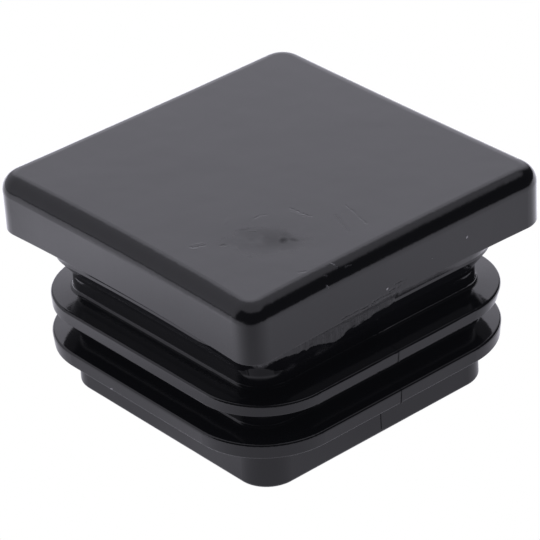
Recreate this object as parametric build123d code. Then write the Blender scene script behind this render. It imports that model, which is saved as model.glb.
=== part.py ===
from build123d import *
import math
import os

# Square ribbed end cap for a 30 x 30 mm steel tube, injection moulded in one
# shot.  Millimetres, +Z up.  The cap stands on the open mouth of its plug:
# the origin is the centre of that mouth, in the plane of its rim, and the head
# is at the top.  The slides of the mould part on the plane y = 0.

# ---- head ------------------------------------------------------------------
HEAD = 30.0            # across the flats of the head
HEAD_BOTTOM = 13.85    # seat that stops on the end of the tube
TOP = 18.5             # crown of the head
HEAD_CORNERS = (2.2, 1.8, 2.2, 2.2)         # in plan: (-,-) (+,-) (+,+) (-,+)
CROWN_R = 1.38         # rounding between the sides and the top
LIP_R = 0.12           # broken lower edge of the head
# shrinkage of the thick head pulls the middle of each side in, by this much
# for the sides that face -Y, +X, +Y and -X, at the lower edge and at the crown
HEAD_SINK = (0.50, 0.36, 0.10, 0.10)
HEAD_SINK_TOP = (0.24, 0.14, 0.10, 0.10)

# ---- shoulder under the head -------------------------------------------------
# a narrow upright land that enters the mouth of the tube, a taper above it that
# centres the cap and a lead-in below it
SHOULDER = 26.32       # across the flats of the land
LAND_BOTTOM = 11.96
LAND_TOP = 12.20
TAPER = 20.0           # degrees from upright
SHOULDER_CORNERS = (4.6, 6.7, 4.6, 4.6)     # in the same order
SHOULDER_SINK = (0.46, 0.14, 0.14, 0.14)
LEAD_BOTTOM = 10.15    # where the lead-in dies into the plug
LEAD_R = 0.9           # hollow between the lead-in and the plug

# ---- hollow plug --------------------------------------------------------------
PLUG_MOUTH = 23.6      # across the flats at the open end
PLUG_TOP = 23.4        # across the flats just under the shoulder
PLUG_CORNER = 2.6
WALL = 2.0             # at the mouth
MOUTH_R = 0.25         # rounding of the outer rim of the mouth
CAVITY_TOP = 13.3      # roof of the hollow
CAVITY_DRAFT = 1.0     # degrees
CAVITY_CORNER = 1.3
ROOF_R = 0.8

# ---- sealing fins ---------------------------------------------------------------
FIN1 = (28.2, 27.95)   # across the flats in X and in Y, upper fin
FIN1_SHIFT = 0.125     # the top of its rim leans in on the side that faces -Y
FIN1_CORNER = 5.87
FIN1_RIM = 8.44        # upper edge of its rim
FIN1_T = 1.05          # thickness of the rim
FIN1_TOP_R = 0.22      # rounding of its upper edge
FIN2 = (28.5, 28.5)    # lower fin
FIN2_SHIFT = 0.0
FIN2_CORNER = 6.5
FIN2_RIM = 5.09
FIN2_T = 1.29
FIN2_TOP_R = 0.22
RIM_LEAN = 0.12        # the rim leans in by this much towards its lower edge
ROOT_RISE = 0.25       # a fin thickens by this much on top at its root
ROOT_FALL = 0.10       # and by this much underneath
RIM_BOTTOM_R = 0.12
ROOT_R = 0.30          # fillet between a fin and the plug

# ---- witness lines and marks -----------------------------------------------------
PART_LINE = 0.10       # width of the ridge left where the slides meet
PART_RISE = 0.05       # how far it stands off the surface
BURR_X = 7.9           # scrap of flash on the lower edge of the lower fin
BURR_W = 0.75
BURR_DROP = 0.24


def outline(across, corner, sinks=(0, 0, 0, 0)):
    """Rounded square; each side may be a very shallow arc, sunk in its middle.

    across is one size, or two for X and Y.  corner is one radius, or four in the order (-,-) (+,-) (+,+) (-,+).  A sunk
    side starts a little further out, so that it still measures the full width
    across where the corner radius takes over.
    """
    w, d = across if isinstance(across, tuple) else (across, across)
    h, k = w / 2, d / 2
    radii = corner if isinstance(corner, tuple) else (corner,) * 4
    u = 1 - min(radii) / h
    f, r, b, l = [s * (1 - u * u) for s in sinks]
    c = [(-h - l, -k - f), (h + r, -k - f), (h + r, k + b), (-h - l, k + b)]
    mid = [(0, -k - f + sinks[0]), (h + r - sinks[1], 0),
           (0, k + b - sinks[2]), (-h - l + sinks[3], 0)]
    edges = []
    for i in range(4):
        a, e = c[i], c[(i + 1) % 4]
        if sinks[i] > 0:
            edges.append(ThreePointArc(a, mid[i], e))
        else:
            edges.append(Line(a, e))
    sk = make_face(Curve() + edges)
    if not isinstance(corner, tuple):
        return fillet(sk.vertices(), corner)
    for radius, sx, sy in zip(radii, (-1, 1, 1, -1), (-1, -1, 1, 1)):
        far = sorted(sk.vertices(), key=lambda v: v.X * sx + v.Y * sy)[-1]
        sk = fillet(far, radius)
    return sk


def at(z, sketch):
    return Pos(0, 0, z) * sketch


def ruled(lower, upper):
    return loft([lower, upper], ruled=True)


def head():
    """Upright sides, crown rounded all the way round."""
    b = ruled(at(HEAD_BOTTOM, outline(HEAD, HEAD_CORNERS, HEAD_SINK)),
              at(TOP, outline(HEAD, HEAD_CORNERS, HEAD_SINK_TOP)))
    b = fillet(b.edges().group_by(Axis.Z)[-1], CROWN_R)
    return fillet(b.edges().group_by(Axis.Z)[0], LIP_R)


def shoulder():
    """Taper, land and lead-in, from the seat of the head down to the plug."""
    land = outline(SHOULDER, SHOULDER_CORNERS, SHOULDER_SINK)
    d = (HEAD_BOTTOM + 0.3 - LAND_TOP) * math.tan(math.radians(TAPER))
    wide = outline(SHOULDER + 2 * d, tuple(c + d for c in SHOULDER_CORNERS), SHOULDER_SINK)
    inset = 0.4
    k = inset / ((SHOULDER - PLUG_TOP) / 2)
    z = LEAD_BOTTOM - k * (LAND_BOTTOM - LEAD_BOTTOM)
    small = outline(PLUG_TOP - 2 * inset,
                    tuple(PLUG_CORNER - k * (c - PLUG_CORNER) for c in SHOULDER_CORNERS))
    return ruled(at(z, small), at(LAND_BOTTOM, land)) \
        + ruled(at(LAND_BOTTOM, land), at(LAND_TOP, land)) \
        + ruled(at(LAND_TOP, land), at(HEAD_BOTTOM + 0.3, wide))


def plug(grow=0.0):
    """Outer body of the plug, a little wider at the mouth."""
    b = ruled(at(0, outline(PLUG_MOUTH + 2 * grow, PLUG_CORNER + grow)),
              at(LAND_BOTTOM + 0.6,
                 outline(PLUG_TOP + 2 * grow, PLUG_CORNER + grow)))
    return fillet(b.edges().group_by(Axis.Z)[0], MOUTH_R)


def fin(across, shift, corner, rim_top, thick, top_r, grow=0.0):
    """One fin: a rounded rim on a web that thickens towards its root."""
    def ring(z, inset, radius):
        """Loop of the rim; only its upper edge is trimmed, the lower is square."""
        if z == low:
            return at(z, outline(across[0] + 2 * grow - 2 * inset,
                                 radius + 3 * shift + grow))
        size = tuple(a + 2 * grow - 2 * inset for a in across)
        return Pos(0, shift, z) * outline(size, radius + grow)

    top, low = rim_top + grow, rim_top - thick - grow
    rim = ruled(ring(low, RIM_LEAN, corner - RIM_LEAN), ring(top, 0, corner))
    rim = fillet(rim.edges().group_by(Axis.Z)[-1], top_r)
    rim = fillet(rim.edges().group_by(Axis.Z)[0], RIM_BOTTOM_R)
    root = PLUG_TOP - 1.2
    k = (across[0] + 2 * grow - root) / (across[0] + 2 * grow - PLUG_TOP)
    inner = outline(root, PLUG_CORNER - 0.3)
    upper = ruled(ring(top, top_r + 0.01, corner - top_r), at(top + ROOT_RISE * k, inner))
    inset = RIM_LEAN + RIM_BOTTOM_R + 0.01
    under = ruled(at(low - ROOT_FALL * k, inner), ring(low, inset, corner - inset + 0.01))
    return rim + upper + under


def plug_with_fins(grow=0.0):
    return plug(grow) + fin(FIN1, FIN1_SHIFT, FIN1_CORNER, FIN1_RIM, FIN1_T, FIN1_TOP_R, grow) \
        + fin(FIN2, FIN2_SHIFT, FIN2_CORNER, FIN2_RIM, FIN2_T, FIN2_TOP_R, grow)


body = plug_with_fins()

# soft root where each fin meets the plug, above and below
roots = []
for rim_top, thick in ((FIN1_RIM, FIN1_T), (FIN2_RIM, FIN2_T)):
    for z in (rim_top + ROOT_RISE, rim_top - thick - ROOT_FALL):
        for e in body.edges():
            bb = e.bounding_box()
            reach = max(-bb.min.X, bb.max.X, -bb.min.Y, bb.max.Y)
            if abs(bb.min.Z - z) < 0.12 and abs(bb.max.Z - z) < 0.12 \
                    and reach < PLUG_MOUTH / 2 + 0.3:
                roots.append(e)
print("root edges", len(roots))
body = fillet(roots, ROOT_R)

# the hollow between the plug and the lead-in above it
body = body + shoulder()
hollow = []
for e in body.edges():
    bb = e.bounding_box()
    if bb.min.Z > LEAD_BOTTOM - 0.25 and bb.max.Z < LEAD_BOTTOM + 0.25:
        hollow.append(e)
print("hollow edges", len(hollow))
body = fillet(hollow, LEAD_R)

# parting ridge down both sides that face X, over the plug and both fins
w = HEAD / 2
slab = Pos(0, 0, LAND_BOTTOM / 2 + 0.2) \
    * Box(2 * w, PART_LINE, LAND_BOTTOM - 0.4)
ridge = plug_with_fins(PART_RISE) & slab

# scrap of flash under the rim of the lower fin
y = -FIN2[1] / 2 + RIM_LEAN
low = FIN2_RIM - FIN2_T
burr = Pos(BURR_X, y + 0.16, low + 0.2) * (
    Rot(90, 0, 0) * extrude(
        make_face(Polyline((-BURR_W / 2, 0), (BURR_W / 2, 0), (BURR_W * 0.3, -0.16),
                           (-BURR_W * 0.3, -0.2 - BURR_DROP), (-BURR_W / 2, -0.2 - BURR_DROP * 0.8),
                           close=True)), 0.14))

cap = head() + body + ridge + burr

# hollow, open at the mouth
m = PLUG_MOUTH - 2 * WALL
t = m - 2 * CAVITY_TOP * math.tan(math.radians(CAVITY_DRAFT))
cavity = ruled(at(0, outline(m, CAVITY_CORNER)),
               at(CAVITY_TOP, outline(t, CAVITY_CORNER - 0.15)))
cavity = fillet(cavity.edges().group_by(Axis.Z)[-1], ROOF_R)
cap = cap - cavity

print("valid", cap.is_valid, "solids", len(cap.solids()), "volume", cap.volume)
bb = cap.bounding_box()
print("box", bb.min, bb.max)
os.makedirs("parts", exist_ok=True)
export_step(cap, "parts/end_cap.step")
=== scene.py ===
import bpy, math, random
from mathutils import Matrix, Vector


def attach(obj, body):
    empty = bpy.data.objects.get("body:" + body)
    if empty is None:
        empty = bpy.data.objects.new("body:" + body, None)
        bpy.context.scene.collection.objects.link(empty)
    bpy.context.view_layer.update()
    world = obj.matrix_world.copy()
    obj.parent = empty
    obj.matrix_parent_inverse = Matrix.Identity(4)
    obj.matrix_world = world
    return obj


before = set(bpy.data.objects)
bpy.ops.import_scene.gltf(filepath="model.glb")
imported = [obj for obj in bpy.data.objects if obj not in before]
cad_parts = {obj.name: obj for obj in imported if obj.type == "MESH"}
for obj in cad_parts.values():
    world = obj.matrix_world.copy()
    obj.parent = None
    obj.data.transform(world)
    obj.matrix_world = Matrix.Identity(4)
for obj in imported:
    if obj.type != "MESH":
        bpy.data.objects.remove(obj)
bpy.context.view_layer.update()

scene = bpy.context.scene
scene.view_settings.view_transform = "Standard"
scene.view_settings.look = "None"

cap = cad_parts["end_cap"]


# ---------------------------------------------------------------- node helpers
class Tree:
    """Short hand for building a node tree."""

    def __init__(self, tree):
        self.t = tree
        self.n = tree.nodes
        self.l = tree.links

    def put(self, socket, value):
        if isinstance(value, bpy.types.NodeSocket):
            self.l.new(value, socket)
        elif value is not None:
            socket.default_value = value

    def node(self, kind, ins=None, **props):
        n = self.n.new(kind)
        for k, v in props.items():
            setattr(n, k, v)
        for k, v in (ins or {}).items():
            self.put(n.inputs[k], v)
        return n

    def math(self, op, a, b=None, c=None, clamp=False):
        n = self.node("ShaderNodeMath", operation=op, use_clamp=clamp)
        for s, v in zip(n.inputs, (a, b, c)):
            self.put(s, v)
        return n.outputs[0]

    def add(self, *v):
        out = v[0]
        for x in v[1:]:
            out = self.math("ADD", out, x)
        return out

    def mul(self, *v):
        out = v[0]
        for x in v[1:]:
            out = self.math("MULTIPLY", out, x)
        return out

    def top(self, *v):
        out = v[0]
        for x in v[1:]:
            out = self.math("MAXIMUM", out, x)
        return out

    def vmath(self, op, a, b=None, scale=None):
        n = self.node("ShaderNodeVectorMath", operation=op)
        self.put(n.inputs[0], a)
        self.put(n.inputs[1], b)
        if scale is not None:
            self.put(n.inputs["Scale"], scale)
        return n.outputs["Value"] if op in ("DOT_PRODUCT", "LENGTH", "DISTANCE") else n.outputs[0]

    def dot(self, a, b):
        return self.vmath("DOT_PRODUCT", a, Vector(b).normalized())

    def step(self, x, lo, hi, a=0.0, b=1.0):
        n = self.node("ShaderNodeMapRange", interpolation_type="SMOOTHSTEP")
        for k, v in (("Value", x), ("From Min", lo), ("From Max", hi), ("To Min", a), ("To Max", b)):
            self.put(n.inputs[k], v)
        return n.outputs["Result"]

    def noise(self, vec, scale, detail=2.0, rough=0.5, dist=0.0):
        n = self.node("ShaderNodeTexNoise")
        self.put(n.inputs["Vector"], vec)
        self.put(n.inputs["Scale"], scale)
        self.put(n.inputs["Detail"], detail)
        self.put(n.inputs["Roughness"], rough)
        self.put(n.inputs["Distortion"], dist)
        return n.outputs["Fac"]

    def sep(self, vec):
        n = self.node("ShaderNodeSeparateXYZ", {0: vec})
        return n.outputs[0], n.outputs[1], n.outputs[2]

    def vec(self, x, y, z):
        return self.node("ShaderNodeCombineXYZ", {0: x, 1: y, 2: z}).outputs[0]

    def scaled(self, v, s):
        return self.vmath("MULTIPLY", v, s)


# -------------------------------------------------------------------- material
mat = bpy.data.materials.new("black_plastic")
mat.use_nodes = True
T = Tree(mat.node_tree)
T.n.clear()
out = T.node("ShaderNodeOutputMaterial")
bsdf = T.node("ShaderNodeBsdfPrincipled")
T.l.new(bsdf.outputs[0], out.inputs[0])
P0 = T.node("ShaderNodeTexCoord").outputs["Object"]
P = T.vmath("SCALE", P0, scale=1000.0)                 # millimetres
X, Y, Z = T.sep(P)
bsdf.inputs["IOR"].default_value = 1.5
# marks are drawn in coordinates that wander a little, so that none is ruler straight
wander = T.node("ShaderNodeTexNoise", {"Vector": P, "Scale": 1.3, "Detail": 3.0, "Roughness": 0.6})
wander = T.vmath("SUBTRACT", wander.outputs["Color"], Vector((0.5, 0.5, 0.5)))
XW, YW, ZW = T.sep(T.vmath("ADD", P, T.vmath("SCALE", wander, scale=0.42)))


def line(a, b, width, face="top", soft=1.0):
    """1 on the segment a-b drawn on one face, falling to 0 at `width` mm from it."""
    ax, ay = a
    bx, by = b
    u, v = {"top": (XW, YW), "right": (YW, ZW), "left": (XW, ZW)}[face]
    ex, ey = bx - ax, by - ay
    n2 = max(ex * ex + ey * ey, 1e-6)
    du, dv = T.math("SUBTRACT", u, ax), T.math("SUBTRACT", v, ay)
    t = T.math("DIVIDE", T.add(T.mul(du, ex), T.mul(dv, ey)), n2, clamp=True)
    px = T.math("SUBTRACT", du, T.mul(t, ex))
    py = T.math("SUBTRACT", dv, T.mul(t, ey))
    d = T.math("SQRT", T.add(T.mul(px, px), T.mul(py, py)))
    return T.step(d, width, width * (1 - soft), 0.0, 1.0)


def blob(c, rx, ry, face="top", turn=0.0, hard=0.0):
    """1 in the middle of an ellipse on one face, 0 at its edge."""
    u, v = {"top": (XW, YW), "right": (YW, ZW), "left": (XW, ZW)}[face]
    du, dv = T.math("SUBTRACT", u, c[0]), T.math("SUBTRACT", v, c[1])
    k, m = math.cos(turn), math.sin(turn)
    p = T.math("DIVIDE", T.add(T.mul(du, k), T.mul(dv, m)), rx)
    q = T.math("DIVIDE", T.add(T.mul(du, -m), T.mul(dv, k)), ry)
    d = T.math("SQRT", T.add(T.mul(p, p), T.mul(q, q)))
    return T.step(d, 1.0, hard, 0.0, 1.0)


# where things are
on_top = T.step(Z, 17.9, 18.3)
on_right = T.step(X, 12.9, 13.6)
plug = T.step(Z, 12.6, 11.4)
low_noise = T.noise(P, 0.16, 2.0, 0.5)
mid_noise = T.noise(P, 0.9, 3.0, 0.6)
fine = T.noise(P, 6.0, 3.0, 0.6)
grain = T.noise(P, 26.0, 2.0, 0.6)
ragged = T.noise(P, 2.2, 3.0, 0.7)

# scratches and knocks in the crown, towards the front corner
broken = T.step(T.noise(P, 3.4, 2.0, 0.6), 0.36, 0.56, 0.25, 1.0)
deep = T.mul(broken, T.top(
    T.mul(line((8.50, 0.35), (11.55, -0.48), 0.12), 0.8),
    line((5.85, -2.87), (7.85, -2.56), 0.13),
    T.mul(line((5.00, -5.62), (5.00, -5.10), 0.16), 0.9),
    T.mul(line((5.00, -5.10), (5.28, -4.62), 0.12), 0.7),
    T.mul(line((4.82, -11.62), (5.38, -10.75), 0.13), 0.9),
    line((6.22, -9.90), (6.42, -9.72), 0.19),
    T.mul(line((13.12, -8.60), (13.40, -8.12), 0.13), 0.8),
))
faint = T.mul(broken, T.top(
    line((6.32, -3.20), (7.25, -2.86), 0.11),
    line((6.95, -3.06), (7.60, -3.02), 0.09),
    line((3.98, -7.66), (3.80, -6.82), 0.13),
    line((3.72, -7.40), (3.55, -6.95), 0.10),
    line((6.00, -7.16), (6.47, -6.80), 0.12),
    line((4.55, -11.35), (4.95, -10.62), 0.11),
    line((5.05, -11.78), (5.30, -11.40), 0.11),
))
cloud = T.step(T.noise(P, 0.5, 2.0, 0.5), 0.30, 0.65, 0.55, 1.0)
scuff = T.top(
    T.mul(line((8.95, -1.22), (11.42, -2.10), 0.30), 0.55),
    T.mul(line((5.15, -6.20), (4.93, -5.60), 0.2), 0.25),
    T.mul(blob((8.95, -6.25), 0.75, 0.42, turn=-0.75), 0.85),
    T.mul(blob((9.45, -5.75), 0.75, 0.36, turn=0.2), 0.55),
    T.mul(blob((8.6, -5.6), 0.8, 0.6), 0.35),
    T.mul(line((5.62, -7.48), (5.85, -6.90), 0.26), 0.45),
    T.mul(blob((9.05, -9.55), 0.34, 0.26), 0.35),
    T.mul(blob((9.9, -5.1), 1.5, 0.55, turn=0.5), 0.28),
    T.mul(blob((2.6, 1.6), 0.5, 0.3), 0.16),
    T.mul(blob((6.1, 2.9), 0.55, 0.3), 0.14),
)
worn = T.mul(blob((8.1, -7.0), 6.4, 3.6, turn=0.75), cloud)
deep, faint, scuff, worn = [T.mul(m, on_top) for m in (deep, faint, scuff, worn)]

# rough strip of flash along the lower edge of the head, and a scuff on the crown's edge
strip_line = line((-6.2, 14.00), (0.4, 14.02), 0.20, "right", 0.9)
strip = T.mul(strip_line, on_right, T.step(ragged, 0.42, 0.62), 0.5)
nicks = T.mul(broken, T.top(
    line((-6.3, 14.22), (-4.9, 14.20), 0.09, "right"),
    line((-5.0, 14.22), (-2.8, 14.12), 0.11, "right"),
    line((-3.0, 14.32), (-0.9, 14.30), 0.11, "right"),
    line((-1.4, 14.50), (0.1, 14.48), 0.12, "right"),
    line((-0.8, 14.78), (0.3, 14.75), 0.09, "right"),
    T.mul(line((-4.2, 13.98), (-0.5, 14.02), 0.10, "right"), 0.8),
), on_right)
edge = T.mul(T.step(X, 13.4, 13.8), T.step(Z, 16.9, 17.3), T.top(
    T.mul(line((-6.05, 18.40), (-5.90, 18.22), 0.10, "right"), 0.8),
    T.mul(line((-7.45, 17.62), (-7.32, 17.45), 0.10, "right"), 0.9),
    T.mul(line((-5.35, 18.05), (-4.75, 18.02), 0.06, "right"), 0.35),
    T.mul(line((-7.2, 18.18), (-7.05, 18.05), 0.08, "right"), 0.45),
))
blots = T.mul(T.add(T.mul(blob((6.0, 13.2), 1.3, 0.55, "right"), 0.7),
                    T.mul(blob((-4.6, 15.0), 1.1, 0.8, "right"), 0.5)), on_right,
              T.step(mid_noise, 0.42, 0.60))
specks = T.top(blob((-1.59, 14.76), 0.15, 0.13, "right", hard=0.5),
               T.mul(blob((6.47, 15.76), 0.12, 0.17, "right", hard=0.5), 0.9),
               T.mul(blob((2.9, 15.35), 0.07, 0.07, "right"), 0.5))
specks = T.add(T.mul(specks, on_right),
               T.mul(blob((-3.0, 3.98), 0.30, 0.12, "left", turn=0.5), T.step(Y, -13.6, -13.9)))

# grease on the plug, on the right, next to the front corner
below = T.step(Z, 13.2, 12.6)
torn_web = T.mul(T.step(X, 12.7, 13.0), T.step(X, 13.6, 13.4), T.step(Z, 12.9, 12.7),
                 T.step(Z, 11.0, 11.2), T.step(Y, 0.9, 0.2), T.step(Y, -10.5, -8.0))
smudge = T.mul(T.top(blob((-5.2, 10.2), 2.6, 0.75, "right", 0.12),
                     T.mul(blob((-8.6, 9.9), 1.0, 0.5, "right", 0.2), 0.8)),
               T.step(X, 10.6, 11.4), below, T.step(mid_noise, 0.36, 0.62))

# sheen: the head a little softer than the plug
rough = T.add(T.step(low_noise, 0.3, 0.7, 0.115, 0.150), T.mul(mid_noise, 0.02))
rough = T.add(T.mul(rough, T.step(plug, 0.0, 1.0, 1.0, 0.62)),
              T.mul(scuff, 0.28), T.mul(worn, 0.33), T.mul(deep, 0.16), T.mul(faint, 0.08),
              T.mul(strip, 0.2), T.mul(nicks, 0.12), T.mul(torn_web, 0.26), T.mul(edge, 0.3), T.mul(blots, 0.18),
              T.mul(smudge, 0.22))
T.put(bsdf.inputs["Roughness"], T.math("MINIMUM", rough, 0.75))

# the shine on the front corner of the shoulder is broken: dull flow marks on both
# sides of it and a few upright streaks across it
along = T.math("MULTIPLY", T.add(XW, YW), 0.7071)
corner_on = T.mul(T.step(X, 9.0, 9.8), T.step(Y, -9.0, -9.8), T.step(Z, 9.6, 9.9), T.step(Z, 12.2, 12.0))
flanks = T.top(T.mul(T.step(along, -2.9, -2.3), T.step(along, -0.75, -1.0)),
               T.mul(T.step(along, 0.85, 1.1), T.step(along, 2.6, 2.2)))
streaks = T.top(
    T.mul(T.step(T.noise(T.vec(along, 0.0, T.math("MULTIPLY", Z, 0.15)), 3.2, 2.0, 0.6), 0.50, 0.60), 0.5),
    T.mul(T.step(along, -0.98, -0.86), T.step(along, -0.66, -0.78), 0.9),
    T.mul(T.step(along, -0.58, -0.50), T.step(along, -0.34, -0.42), T.step(Z, 11.0, 11.3), 0.85),
    T.mul(T.step(along, 0.50, 0.58), T.step(along, 0.74, 0.66), T.step(Z, 11.3, 11.6), 0.6),
    T.mul(T.step(Z, 10.75, 10.35), 0.6))
# and the plug is dull in its inner corners, from the front corner to the middle of
# the side that faces +X
radial = T.math("MULTIPLY", T.math("SUBTRACT", X, Y), 0.7071)
inner = T.mul(T.step(Z, 5.2, 5.5), T.step(Z, 9.8, 9.5), T.top(
    T.mul(T.step(radial, 16.5, 16.15), T.step(along, -2.0, -1.3), T.step(along, 4.4, 3.6),
          T.step(radial, 12.6, 13.2), T.step(X, 13.2, 12.8), T.step(Y, -13.2, -12.8)),
    T.mul(T.step(X, 10.9, 11.2), T.step(X, 13.0, 12.5), T.step(Z, 8.3, 8.5),
          T.step(YW, 0.9, -0.9), T.step(along, -2.0, -1.3))))
dull = T.top(T.mul(corner_on, T.top(T.mul(flanks, 0.85), streaks)), T.mul(inner, 0.9))
T.put(bsdf.inputs["Specular IOR Level"], T.math("SUBTRACT", 0.5, T.mul(dull, 0.5)))

# colour: black, very slightly blue; dust and torn plastic are paler
tone = T.node("ShaderNodeMix", data_type="RGBA")
T.put(tone.inputs[0], low_noise)
tone.inputs[6].default_value = (0.0036, 0.0036, 0.0043, 1)
tone.inputs[7].default_value = (0.0052, 0.0050, 0.0060, 1)
pale_mask = T.add(T.mul(strip, 0.30), T.mul(edge, 0.8), T.mul(smudge, 0.16), T.mul(faint, 0.12),
                  T.mul(T.step(grain, 0.72, 0.80), 0.02))
dust = T.node("ShaderNodeMix", data_type="RGBA", clamp_factor=True)
T.put(dust.inputs[0], pale_mask)
T.l.new(tone.outputs[2], dust.inputs[6])
dust.inputs[7].default_value = (0.085, 0.083, 0.092, 1)
speck = T.node("ShaderNodeMix", data_type="RGBA", clamp_factor=True)
T.put(speck.inputs[0], specks)
T.l.new(dust.outputs[2], speck.inputs[6])
speck.inputs[7].default_value = (0.42, 0.41, 0.43, 1)
T.l.new(speck.outputs[2], bsdf.inputs["Base Color"])

# painted light: a faint even glow on the black plastic, so that its deepest shade is never quite black
bsdf.inputs["Emission Color"].default_value = (0.0019, 0.0020, 0.0025, 1)
bsdf.inputs["Emission Strength"].default_value = 1.0

# relief, in millimetres
relief = T.add(T.mul(fine, 0.0014), T.mul(grain, 0.0004), T.mul(mid_noise, 0.006),
               T.mul(low_noise, 0.05),
               T.mul(deep, -0.020), T.mul(faint, 0.010), T.mul(scuff, -0.008), T.mul(worn, -0.020),
               T.mul(strip, 0.02), T.mul(nicks, -0.035), T.mul(edge, 0.03), T.mul(specks, 0.03),
               T.mul(torn_web, T.mul(ragged, 0.09)))
bump = T.node("ShaderNodeBump", {"Strength": 1.0, "Distance": 0.001, "Height": relief})
T.l.new(bump.outputs[0], bsdf.inputs["Normal"])

cap.data.materials.clear()
cap.data.materials.append(mat)

# ----------------------------------------------------------------------- stage
def mesh_object(name, verts, faces):
    me = bpy.data.meshes.new(name)
    me.from_pydata(verts, [], faces)
    ob = bpy.data.objects.new(name, me)
    scene.collection.objects.link(ob)
    return ob


# the torn web of flash on the shoulder, under the lower edge of the head, on +X
WEB = [(-12.95, 12.62), (-12.65, 12.42), (-11.67, 12.33), (-10.2, 12.15), (-9.02, 11.97),
       (-7.73, 11.84), (-6.65, 11.64), (-5.76, 11.38), (-5.06, 11.40), (-4.25, 11.62),
       (-3.24, 11.68), (-2.23, 11.76), (-1.02, 11.84), (-0.2, 11.93), (0.6, 12.02)]


def web_strip(seed):
    """Thin ragged web swept along the shoulder; its lower edge follows WEB."""
    rng = random.Random(seed)
    n = 260
    knots = [rng.random() for _ in range(64)]
    torn = [rng.random() - 0.5 for _ in range(n + 1)]

    def smooth(t, k):
        p = t * k
        i = int(p)
        f = p - i
        f = f * f * (3 - 2 * f)
        return knots[i % 64] * (1 - f) + knots[(i + 1) % 64] * f

    def lower(y):
        for (ya, za), (yb, zb) in zip(WEB, WEB[1:]):
            if y <= yb:
                return za + (zb - za) * (y - ya) / (yb - ya)
        return WEB[-1][1]

    verts, faces = [], []
    y0, y1 = WEB[0][0], WEB[-1][0]
    for i in range(n + 1):
        t = i / n
        y = y0 + (y1 - y0) * t
        face = 13.12 + 0.14 * (y / 13.24) ** 2
        rag = 0.25 + 0.75 * max(0.0, min(1.0, (y + 10.4) / 2.0)) * max(0.0, min(1.0, (0.9 - y) / 1.5))
        z = lower(y) + rag * (0.13 * (smooth(t, 43) - 0.5) + 0.06 * torn[i])
        out = 0.03 + rag * (0.08 * smooth(t, 31) + 0.02 * torn[(i * 7) % n])
        curl = rag * 0.12 * (smooth(t, 23) - 0.4)
        x = face + out
        ring = [(x + 0.34, 13.92), (x + 0.01, 12.62), (x, 12.52), (x + curl * 0.4, z + 0.22),
                (x + curl, z + 0.07), (x + curl - 0.03, z), (x + curl - 0.10, z + 0.02),
                (x - 0.30, z + 0.30), (x - 0.34, 13.92)]
        verts += [(a / 1000, y / 1000, b / 1000) for a, b in ring]
    m = 9
    for i in range(n):
        for j in range(m):
            a, b = i * m + j, i * m + (j + 1) % m
            faces.append((a, a + m, b + m, b))
    faces.append(tuple(range(m)))
    faces.append(tuple(range(n * m + m - 1, n * m - 1, -1)))
    return verts, faces


flash = mesh_object("flash", *web_strip(11))
flash.data.materials.append(mat)
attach(flash, "root")

# a light table: white to look at; for the reflections its glow is painted light, bright to the left and behind,
# dimmer to the right and in front, where it ends not far away
S = 1.5
floor = mesh_object("floor", [(-S, -S, 0), (S, -S, 0), (S, S, 0), (-S, S, 0)], [(0, 1, 2, 3)])
fm = bpy.data.materials.new("floor")
fm.use_nodes = True
F = Tree(fm.node_tree)
F.n.clear()
fout = F.node("ShaderNodeOutputMaterial")
FP = F.vmath("SCALE", F.node("ShaderNodeNewGeometry").outputs["Position"], scale=1000.0)
FX, FY, FZ = F.sep(FP)
flat = F.vec(FX, FY, 0.0)
dist = F.vmath("LENGTH", flat)
azi = F.vmath("NORMALIZE", flat)
to_left = F.step(F.dot(azi, (-0.75, -0.66, 0)), 0.0, 0.9)
to_back = F.step(F.dot(azi, (-0.66, 0.75, 0)), 0.0, 0.9)
to_right = F.step(F.dot(azi, (0.75, 0.66, 0)), 0.2, 0.9)
# painted pool of light well away from the part, by direction
far = F.step(dist, 40.0, 58.0)
painted_light_pool = F.add(0.66, F.mul(to_left, F.add(0.60, F.mul(far, -0.42))), F.mul(to_back, 0.6), F.mul(to_right, 0.22))
# how far the bright sheet reaches
reach = F.add(70.0, F.mul(to_left, 130.0), F.mul(to_back, 400.0), F.mul(to_right, 60.0))
fade = F.step(F.math("DIVIDE", dist, reach), 0.5, 1.5, 1.0, 0.0)
# and painted shade close to the part, most of all on the left, in place of its contact shadow
low = F.add(0.95, F.mul(to_left, -0.57), F.mul(to_right, -0.33))
painted_contact_shade = F.step(dist, 21.0, 41.0, low, 1.0)
rad = F.add(F.mul(F.add(F.mul(painted_light_pool, fade), F.mul(to_left, 0.25)), painted_contact_shade), 0.02, F.mul(to_back, 0.4))
lp = F.node("ShaderNodeLightPath")
seen = F.node("ShaderNodeEmission", {"Color": (1, 1, 1, 1), "Strength": 1.0})
# painted light: the floor's glow seen in reflections, shaped by the painted pool of light and painted shade
# above
felt = F.node("ShaderNodeEmission", {"Color": (0.99, 0.975, 1.09, 1), "Strength": rad})
fmix = F.node("ShaderNodeMixShader", {0: lp.outputs["Is Camera Ray"], 1: felt.outputs[0], 2: seen.outputs[0]})
F.l.new(fmix.outputs[0], fout.inputs[0])
floor.data.materials.append(fm)

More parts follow.
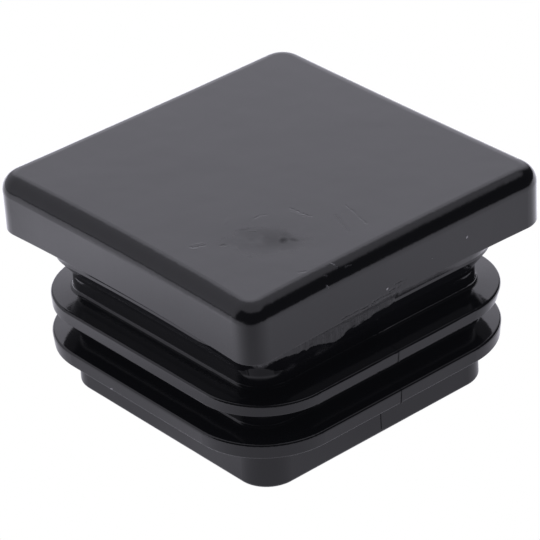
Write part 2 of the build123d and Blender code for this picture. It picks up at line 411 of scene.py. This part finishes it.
# world: overhead softbox, a bright wall behind, a fainter one on the left
world = bpy.data.worlds.new("studio")
scene.world = world
world.use_nodes = True
W = Tree(world.node_tree)
W.n.clear()
wout = W.node("ShaderNodeOutputWorld")
D = W.vmath("NORMALIZE", W.node("ShaderNodeTexCoord").outputs["Generated"])
dx, dy, dz = W.sep(D)
# the softbox overhead starts higher up in front than it does on the right
ahead = W.step(W.dot(W.vmath("NORMALIZE", W.vec(dx, dy, 0.0)), (0.55, -0.83, 0.0)), 0.0, 0.8)
over = W.mul(W.step(dz, W.add(0.70, W.mul(ahead, 0.08)), W.add(0.80, W.mul(ahead, 0.08))), 0.62)
back = W.mul(W.step(W.dot(D, (-0.66, 0.60, 0.45)), 0.80, 0.965), 1.25)
flat = W.vmath("NORMALIZE", W.vec(dx, dy, 0.0))
left = W.mul(W.step(W.dot(flat, (-0.93, -0.36, 0.0)), 0.66, 0.86), 0.62)
L = W.math("ADD", W.top(over, back, left), 0.03)
bg = W.node("ShaderNodeBackground", {"Color": (0.99, 0.975, 1.09, 1), "Strength": L})
pale = W.node("ShaderNodeBackground", {"Color": (1, 1, 1, 1), "Strength": 1.0})
lp = W.node("ShaderNodeLightPath")
mx = W.node("ShaderNodeMixShader", {0: lp.outputs["Is Camera Ray"], 1: bg.outputs[0], 2: pale.outputs[0]})
W.l.new(mx.outputs[0], wout.inputs[0])

# ---------------------------------------------------------------------- camera
cam = bpy.data.cameras.new("camera")
cam.sensor_width = 36.0
cam.lens = 36.0 * 3263.29 / 540.0
cam.clip_start, cam.clip_end = 0.005, 10.0
co = bpy.data.objects.new("camera", cam)
scene.collection.objects.link(co)
right = Vector((0.6608759660517709, 0.7487518556980393, -0.05112353747425101))
up = Vector((-0.3550664082394491, 0.371954185809947, 0.8576583990134978))
back = Vector((0.6611889315733254, -0.5486535721629834, 0.5116722139394737))
R = Matrix((right, up, back)).transposed()
co.matrix_world = Matrix.Translation(Vector((165.64701894016713, -137.7438279035253, 137.86658471497563)) / 1000) @ R.to_4x4()
scene.camera = co
